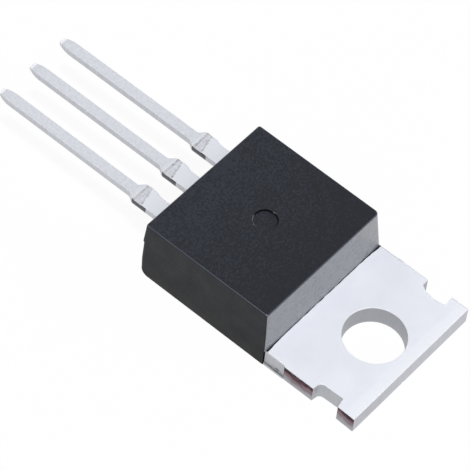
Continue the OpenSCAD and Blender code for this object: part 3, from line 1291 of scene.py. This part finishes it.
@dataclass
class StampedLead:
    """A lead from the body to its tapered tip, made by a Geometry Nodes tree with named inputs."""

    case: Case
    run_w: float = 0.72
    neck_w: float = 1.19
    stub_proud: float = 0.15
    stub_start: float = 1.2
    stub_rise: float = 0.6
    stub_end: float = 2.36
    shoulder: float = 0.52
    tip_len: float = 0.87
    tip_w: float = 0.38
    tip_t: float = 0.25
    # Power by which the taper quickens toward the tip
    taper_power: float = 1.8
    edge_r: float = 0.05
    inside: float = 0.2
    # Foot line of the body at its lead end, from which the lengths along a lead are measured
    foot_y: float = -12.81
    # Dent of the dam bar punch: depth, lengths over which it sinks and rises, and skew on its body side
    dent_depth: float = 0.03
    dent_sinks: Flat = (1.83, 1.97)
    dent_rises: Flat = (2.25, 2.37)
    dent_skew: float = 0.49
    # Heights over the lead's middle between which the dent sets in
    dent_heights: Flat = (0.16, 0.22)
    # Lengths between which the punch cropped the stub, and length of the rolled band at the tip
    cropped: Flat = (1.38, 2.46)
    tip_band: float = 0.2
    # Share of a normal that parts a flank from a flat face
    flank_share: float = 0.8
    # Share of the dent's depth past which its floor is coined, and how far from it its slopes are scraped
    coined_share: float = 0.5
    scraped_share: float = 0.3
    # Rings along the lead, points on each rounded edge and cuts in each stretch of its section
    rings: int = 200
    edge_points: int = 3
    cuts: int = 5
    # Materials by the names Plate, Flank, Cropped, Coined, Streak and Tip
    finishes: dict[str, Material] = field(default_factory=dict)
    tree: Tree | None = None

    def sizes(self) -> dict[str, float]:
        """Lists the tree's size inputs.

        Returns:
            Each size in metres, by the name of its input.
        """
        low, high = self.case.lead_z
        length = self.foot_y - self.case.tip_y
        sizes = {
            "Foot Y": self.foot_y, "Tip Y": self.case.tip_y, "Inside": self.inside, "Lead X": 0.0,
            "Middle Z": (low + high) / 2, "Thickness": high - low, "Run Width": self.run_w,
            "Neck Width": self.neck_w, "Stub Proud": self.stub_proud, "Stub Start": self.stub_start,
            "Stub Full": self.stub_start + self.stub_rise, "Stub End": self.stub_end,
            "Shoulder End": self.stub_end + self.shoulder, "Taper Start": length - self.tip_len,
            "Lead Length": length, "Tip Width": self.tip_w, "Tip Thickness": self.tip_t,
            "Edge Radius": self.edge_r, "Dent Depth": self.dent_depth,
            "Dent Start": self.dent_sinks[0], "Dent Full": self.dent_sinks[1],
            "Dent Rise": self.dent_rises[0], "Dent End": self.dent_rises[1],
            "Dent Low": self.dent_heights[0], "Dent High": self.dent_heights[1],
            "Crop Start": self.cropped[0], "Crop End": self.cropped[1], "Tip Band": self.tip_band,
        }
        return {name: value * MM for name, value in sizes.items()}

    def bar(self, tree: Tree, given: bpy.types.NodeOutputs) -> bpy.types.Node:
        """Adds a straight bar along Y, cut off inside the body.

        Args:
            tree: The tree that gets it.
            given: The tree's inputs by name.

        Returns:
            The node that gives the bar's mesh.
        """
        start_y = reckon(tree, "ADD", given["Foot Y"], given["Inside"])
        start = add_node(tree, "ShaderNodeCombineXYZ", {1: start_y})
        stop = add_node(tree, "ShaderNodeCombineXYZ", {1: given["Tip Y"]})
        line = add_node(tree, "GeometryNodeCurvePrimitiveLine", {0: start, 1: stop})
        fine = add_node(tree, "GeometryNodeResampleCurve", {0: line, "Count": self.rings})
        upright = add_node(tree, "GeometryNodeSetCurveNormal", {0: fine}, mode="Z_UP")
        sides = {0: given["Run Width"], 1: given["Thickness"]}
        section = add_node(tree, "GeometryNodeCurvePrimitiveQuadrilateral", sides)
        radius = given["Edge Radius"]
        edges = {0: section, "Count": self.edge_points, "Radius": radius, "Limit Radius": True}
        rounded = add_node(tree, "GeometryNodeFilletCurve", edges, mode="POLY")
        divided = add_node(tree, "GeometryNodeSubdivideCurve", {0: rounded, "Cuts": self.cuts})
        return add_node(tree, "GeometryNodeCurveToMesh", {0: upright, 1: divided, "Fill Caps": True})

    def make_tree(self) -> Tree:
        """Builds the tree: a bar whose half widths and thickness follow the distance from the body.

        Returns:
            The tree, which all leads share.
        """
        tree = bpy.data.node_groups.new("stamped lead", "GeometryNodeTree")
        for name in self.sizes():
            tree.interface.new_socket(name, in_out="INPUT", socket_type="NodeSocketFloat")
        for name in self.finishes:
            tree.interface.new_socket(name, in_out="INPUT", socket_type="NodeSocketMaterial")
        tree.interface.new_socket("Lead", in_out="OUTPUT", socket_type="NodeSocketGeometry")
        given = add_node(tree, "NodeGroupInput").outputs
        bar = self.bar(tree, given)

        # Half width on each side and thickness, by distance from the body
        place = add_node(tree, "GeometryNodeInputPosition")
        x, y, z = add_node(tree, "ShaderNodeSeparateXYZ", {0: place}).outputs
        away = reckon(tree, "SUBTRACT", given["Foot Y"], y)
        shoulder = given["Stub End"], given["Shoulder End"]
        neck = reckon(tree, "DIVIDE", given["Neck Width"], given["Run Width"])
        proud = reckon(tree, "DIVIDE", given["Stub Proud"], given["Run Width"])
        tip_w = reckon(tree, "DIVIDE", given["Tip Width"], given["Run Width"])
        tip_t = reckon(tree, "DIVIDE", given["Tip Thickness"], given["Thickness"])
        body = remap(tree, away, *shoulder, neck, 1.0, eased=True)
        rise = remap(tree, away, given["Stub Start"], given["Stub Full"], 0.0, proud, eased=True)
        # Starts from 2, because a stub stands proud of half the width
        fall = remap(tree, away, *shoulder, 2.0, 0.0, eased=True)
        is_left = reckon(tree, "LESS_THAN", x, 0.0)
        breadth = reckon(tree, "MULTIPLY_ADD", reckon(tree, "MULTIPLY", rise, fall), is_left, body)
        taper = remap(tree, away, given["Taper Start"], given["Lead Length"])
        curved = reckon(tree, "POWER", taper, self.taper_power)
        scale_x = reckon(tree, "MULTIPLY", breadth, remap(tree, curved, start=1.0, end=tip_w))
        scale_z = remap(tree, curved, start=1.0, end=tip_t)
        new_x = reckon(tree, "MULTIPLY_ADD", x, scale_x, given["Lead X"])
        new_z = reckon(tree, "MULTIPLY_ADD", z, scale_z, given["Middle Z"])

        # Shallow dent that the dam bar punch leaves across the top of the stub, skewed on its body side
        skewed = reckon(tree, "MULTIPLY_ADD", x, self.dent_skew, away)
        sinks = remap(tree, skewed, given["Dent Start"], given["Dent Full"], eased=True)
        rises = remap(tree, away, given["Dent Rise"], given["Dent End"], 1.0, 0.0, eased=True)
        on_top = remap(tree, z, given["Dent Low"], given["Dent High"])
        dented = reckon(tree, "MULTIPLY", reckon(tree, "MULTIPLY", sinks, rises), on_top)
        final_z = reckon(tree, "SUBTRACT", new_z, reckon(tree, "MULTIPLY", dented, given["Dent Depth"]))
        kept = add_node(tree, "GeometryNodeCaptureAttribute", {0: bar})
        kept.capture_items.new("FLOAT", "Dent")
        tree.links.new(dented, kept.inputs["Dent"])
        dent = kept.outputs["Dent"]
        new_place = add_node(tree, "ShaderNodeCombineXYZ", {0: new_x, 1: y, 2: final_z})
        shaped = add_node(tree, "GeometryNodeSetPosition", {0: kept, "Position": new_place})

        # Finishes: plating all over, then the flanks, the cropped face, the dent and the tip over it
        facing = add_node(tree, "GeometryNodeInputNormal")
        normal = add_node(tree, "ShaderNodeSeparateXYZ", {0: facing}).outputs
        past_start = reckon(tree, "GREATER_THAN", away, given["Crop Start"])
        in_span = reckon(tree, "MULTIPLY", past_start, reckon(tree, "LESS_THAN", away, given["Crop End"]))
        faces_right = reckon(tree, "GREATER_THAN", normal[0], self.flank_share)
        to_tip = reckon(tree, "SUBTRACT", given["Lead Length"], away)
        chosen = {
            "Plate": True,
            "Flank": reckon(tree, "LESS_THAN", reckon(tree, "ABSOLUTE", normal[2]), self.flank_share),
            "Cropped": reckon(tree, "MULTIPLY", in_span, faces_right),
            "Coined": reckon(tree, "GREATER_THAN", dent, self.coined_share),
            "Streak": reckon(tree, "COMPARE", dent, self.coined_share, self.scraped_share),
            "Tip": reckon(tree, "LESS_THAN", to_tip, given["Tip Band"]),
        }
        dressed = add_node(tree, "GeometryNodeRealizeInstances", {0: shaped})
        for name, choice in chosen.items():
            inputs = {0: dressed, "Selection": choice, "Material": given[name]}
            dressed = add_node(tree, "GeometryNodeSetMaterial", inputs)
        add_node(tree, "NodeGroupOutput", {0: dressed})
        return tree

    def build(self, name: str, x: float) -> Piece:
        """Makes one lead.

        Args:
            name: Name of the helper object.
            x: Place of the lead's middle across the case.

        Returns:
            The lead as a plain mesh.
        """
        if self.tree is None:
            self.tree = self.make_tree()
        piece = place_mesh(name, bpy.data.meshes.new(name))
        modifier = piece.modifiers.new("stamped lead", "NODES")
        modifier.node_group = self.tree
        values = {**self.sizes(), **self.finishes, "Lead X": x * MM}
        for item in self.tree.interface.items_tree:
            if item.item_type == "SOCKET" and item.in_out == "INPUT":
                modifier[item.identifier] = values[item.name]
        apply_modifiers(piece)
        return piece


@dataclass
class LeadFrame:
    """The stamped lead frame: the tab with the heat spreader and middle lead, and the two outer leads."""

    case: Case
    tab: Tab
    lead: StampedLead
    # How far the heat spreader is sunk into the tab's plate where the two are joined
    sink: float = 0.02

    def build(self, materials: Sequence[Material]) -> dict[str, Piece]:
        """Makes the three pieces of the lead frame.

        Args:
            materials: Finishes in the order of Slot.

        Returns:
            Each piece by the name of the CAD node that it stands for.
        """
        cut_y = self.lead.foot_y + self.lead.inside
        pieces = {}
        for node, x in (("gate_lead", -PITCH_MM), ("source_lead", PITCH_MM)):
            piece = self.lead.build(f"stamped_{node}", x)
            post = cad_copy(node, (cut_y, self.case.seat_y))
            combine(piece, [post], "UNION")
            drop(post)
            pieces[node] = piece
        plate = self.tab.build(materials)
        plate.name = "stamped_tab_and_drain_lead"
        spreader = cad_copy("tab_and_drain_lead", (cut_y, self.case.seat_y - self.sink / 2), self.sink)
        drain = self.lead.build("stamped_drain_lead", 0.0)
        combine(plate, [spreader, drain], "UNION")
        drop(spreader)
        drop(drain)
        pieces["tab_and_drain_lead"] = plate
        return pieces


@dataclass
class JointShadowStrip:
    """A thin black strip of epoxy laid on the tab along the foot of the moulding: a painted shadow of the
    joint between tab and moulding.
    """

    case: Case
    half_len: float = 4.9
    # Usual least and greatest width of the skin, whose free edge wanders between them
    width: Flat = (0.018, 0.052)
    # Share of its half length where it starts to widen, and how much it widens for each length beyond
    end_start: float = 0.7
    end_gain: float = 0.3
    thickness: float = 0.012
    # How far it reaches into the moulding, and share of its width that its top keeps
    rooted: float = 0.02
    top_share: float = 0.8
    step: float = 0.06
    wander_mm: float = 0.4

    def build(self, material: Material) -> Piece:
        """Makes the skin as a strip with a wandering free edge.

        Args:
            material: Its finish.

        Returns:
            The skin.
        """
        shell = Shell()
        count = int(2 * self.half_len / self.step)
        seat = self.case.seat_y
        root = seat - self.rooted
        low, high = self.case.tab_t - self.thickness, self.case.tab_t + self.thickness
        least, most = self.width
        rows = []
        for i in range(count + 1):
            x = -self.half_len + 2 * self.half_len * i / count
            wander = noise.noise(Vector((x / self.wander_mm, 0, 0)))
            toward_end = max(0.0, abs(x) / self.half_len - self.end_start)
            width = least + (most - least) * (0.5 + wander) + self.end_gain * toward_end
            edge, top_edge = seat + width, seat + width * self.top_share
            rows.append(shell.ring([(x, root, low), (x, edge, low), (x, top_edge, high), (x, root, high)]))
        for near, far in zip(rows, rows[1:]):
            shell.bridge(near, far)
        shell.cap(rows[0])
        shell.cap(rows[-1])
        return shell.piece("joint_shadow_strip", [material])


@dataclass
class Transistor:
    """The whole part: builds every piece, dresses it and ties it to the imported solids."""

    case: Case

    def declare(self, piece: Piece, nodes: Sequence[str], slot: str) -> None:
        """Shades a finished piece, lets it ride on the body and reports it.

        Args:
            piece: The piece.
            nodes: CAD nodes that it stands for, if any.
            slot: The record's material slot that it stands for, named in the log.
        """
        smooth(piece)
        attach(piece, BODY)
        if nodes:
            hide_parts(*nodes)
        LOG.info("%s: %d faces, slot %s", piece.name, len(piece.data.polygons), slot)

    def dress_solids(self) -> list[str]:
        """Gives the sealed CAD nodes their finishes.

        Returns:
            Names of the nodes.
        """
        finishes = {
            "die": DIE_SILICON, "die_solder": SOFT_SOLDER, "gate_wire": DRAWN_ALUMINIUM,
            "source_wire": DRAWN_ALUMINIUM,
        }
        made = {finish: finish.build() for finish in set(finishes.values())}
        for node, finish in finishes.items():
            materials = frame["nodes"][node].data.materials
            materials.clear()
            materials.append(made[finish])
            LOG.info("%s: CAD solid, %s", node, finish.name)
        return list(finishes)

    def build(self) -> None:
        """Builds all pieces in order."""
        skins = (MattEpoxy(), PolishedEpoxyPaintedReflection(), RubbedEpoxy(), ShadowPaintedEpoxy(), SIDE_EPOXY, GlintPaintedEpoxy())
        epoxy = [finish.build() for finish in skins]
        tab_finishes = (
            MattTin(), PITTED_FLANK, ShearedCopper(), SHADED_HOLE_FLANK, RolledTinPaintedHighlight(), LIP_SHADE_FLANK, END_FLANK,
        )
        metal = [finish.build() for finish in tab_finishes]
        lead_finishes = {
            "Plate": LEAD_TIN, "Flank": LEAD_FLANK, "Cropped": CroppedStub(), "Coined": COINED_TIN,
            "Streak": PUNCH_STREAK,
        }
        lead_metal = {name: finish.build() for name, finish in lead_finishes.items()}
        # The lead tips take the same tin, painted pale like the rolled edges
        lead_metal["Tip"] = metal[Slot.ROLLED_HIGHLIGHT.value]
        sealed = [cad_copy(node) for node in self.dress_solids()]
        lead = StampedLead(self.case, finishes=lead_metal)
        pieces = LeadFrame(self.case, Tab(self.case), lead).build(metal)
        moulding = Moulding(self.case).build(epoxy)
        combine(moulding, [*pieces.values(), *sealed], "DIFFERENCE")
        for helper in sealed:
            drop(helper)
        self.declare(moulding, ["mould_body"], "epoxy_moulding")
        for node, piece in pieces.items():
            self.declare(piece, [node], "tinned_copper")
        # A black strip along the moulding's foot paints the joint's shadow on the tab
        self.declare(JointShadowStrip(self.case).build(epoxy[Skin.TOP.value]), [], "epoxy_moulding")


@dataclass(frozen=True)
class PhotoCamera:
    """The photograph's camera, fitted to the part's straight edges and corners."""

    position_mm: Point = (86.0496, 51.2366, 147.9985)
    turn_deg: Point = (35.51815, -3.8688, 130.90945)
    focal_px: float = 3227.9037
    frame_px: float = 470.0
    sensor_mm: float = 36.0
    near_mm: float = 10.0
    far_mm: float = 10000.0

    def build(self) -> None:
        """Adds the camera and makes it the scene's own."""
        data = bpy.data.cameras.new("photo_camera")
        data.sensor_width = self.sensor_mm
        data.lens = self.focal_px / self.frame_px * self.sensor_mm
        data.clip_start = self.near_mm * MM
        data.clip_end = self.far_mm * MM
        camera = bpy.data.objects.new("photo_camera", data)
        camera.location = Vector(self.position_mm) * MM
        camera.rotation_euler = Euler([math.radians(a) for a in self.turn_deg])
        bpy.context.scene.collection.objects.link(camera)
        bpy.context.scene.camera = camera
        LOG.info("camera: %.1f mm lens", data.lens)


@dataclass(frozen=True)
class Softbox:
    """A square soft light that points at the part's middle."""

    name: str
    direction: Point
    distance_mm: float
    size_mm: float
    radiance: float
    middle_y_mm: float = -8.0

    def build(self) -> None:
        """Adds the light. A square area light of radiance L sends out pi times its area times L."""
        data = bpy.data.lights.new(self.name, "AREA")
        data.shape = "SQUARE"
        data.size = self.size_mm * MM
        data.energy = self.radiance * math.pi * data.size**2
        light = bpy.data.objects.new(self.name, data)
        toward = Vector(self.direction).normalized()
        light.location = toward * self.distance_mm * MM + Vector((0, self.middle_y_mm * MM, 0))
        light.rotation_euler = toward.to_track_quat("Z", "Y").to_euler()
        light.visible_camera = False
        bpy.context.scene.collection.objects.link(light)
        LOG.info("light %s: %.2f W", self.name, data.energy)


@dataclass(frozen=True)
class Studio:
    """A white table under even light, which shows pure white behind the part as in the photograph."""

    floor_mm: float = 3000.0
    floor_drop_mm: float = 0.01
    sky: float = 0.14
    backdrop_share: float = 0.94
    floor_colour: str = "#f6f6f6"
    glow_colour: str = "#ffffff"
    lights: tuple[Softbox, ...] = (
        Softbox("overhead key", (0.04, 0.03, 1.0), 1000, 120, 133.0),
        Softbox("lead side fill", (0.1, -0.8, 0.6), 400, 200, 1.7),
        Softbox("front fill", (0.3, 0.45, 0.84), 450, 400, 0.9),
        Softbox("rear fill", (-0.48, 0.79, 0.35), 400, 200, 2.0),
    )

    def background_ray(self, tree: Tree) -> Socket:
        """Adds nodes that tell a ray which shows the backdrop from one that lights the part.

        Args:
            tree: The material's or world's tree.

        Returns:
            1 for a camera, glossy or transmission ray, otherwise 0.
        """
        path = add_node(tree, "ShaderNodeLightPath").outputs
        seen = reckon(tree, "MAXIMUM", path["Is Camera Ray"], path["Is Glossy Ray"])
        return reckon(tree, "MAXIMUM", seen, path["Is Transmission Ray"])

    def build_world(self) -> None:
        """Makes the sky: an even light on the part, and pure white where it is seen."""
        world = bpy.data.worlds.new("studio")
        bpy.context.scene.world = world
        world.use_nodes = True
        tree = world.node_tree
        background = tree.nodes["Background"]
        background.inputs["Color"].default_value = linear(self.glow_colour)
        strength = remap(tree, self.background_ray(tree), start=self.sky, end=1.0)
        tree.links.new(strength, background.inputs["Strength"])

    def build_floor(self) -> None:
        """Makes the floor, which keeps a faint soft shadow of the part."""
        material = bpy.data.materials.new("paper, white backdrop sweep")
        material.use_nodes = True
        tree = material.node_tree
        tree.nodes.clear()
        paper = add_node(tree, "ShaderNodeBsdfDiffuse", {"Color": linear(self.floor_colour)})
        glow = add_node(tree, "ShaderNodeEmission", {"Color": linear(self.glow_colour), "Strength": 1.0})
        share = reckon(tree, "MULTIPLY", self.background_ray(tree), self.backdrop_share)
        mixed = add_node(tree, "ShaderNodeMixShader", {0: share, 1: paper, 2: glow})
        add_node(tree, "ShaderNodeOutputMaterial", {0: mixed})
        half = self.floor_mm / 2 * MM
        mesh = bpy.data.meshes.new("floor")
        corners = [(-half, -half), (half, -half), (half, half), (-half, half)]
        mesh.from_pydata([(x, y, -self.floor_drop_mm * MM) for x, y in corners], [], [(0, 1, 2, 3)])
        mesh.materials.append(material)
        place_mesh("floor", mesh)
        LOG.info("floor and sky made")

    def build(self) -> None:
        """Builds the sky, the floor and the lights."""
        bpy.context.scene.view_settings.view_transform = "Standard"
        self.build_world()
        self.build_floor()
        for light in self.lights:
            light.build()


def main() -> None:
    """Builds the camera, the studio and the part in order."""
    logging.basicConfig(level=logging.INFO, format="%(name)s: %(message)s")
    PhotoCamera().build()
    Studio().build()
    Transistor(Case.from_frame()).build()


if __name__ == "__main__":
    main()
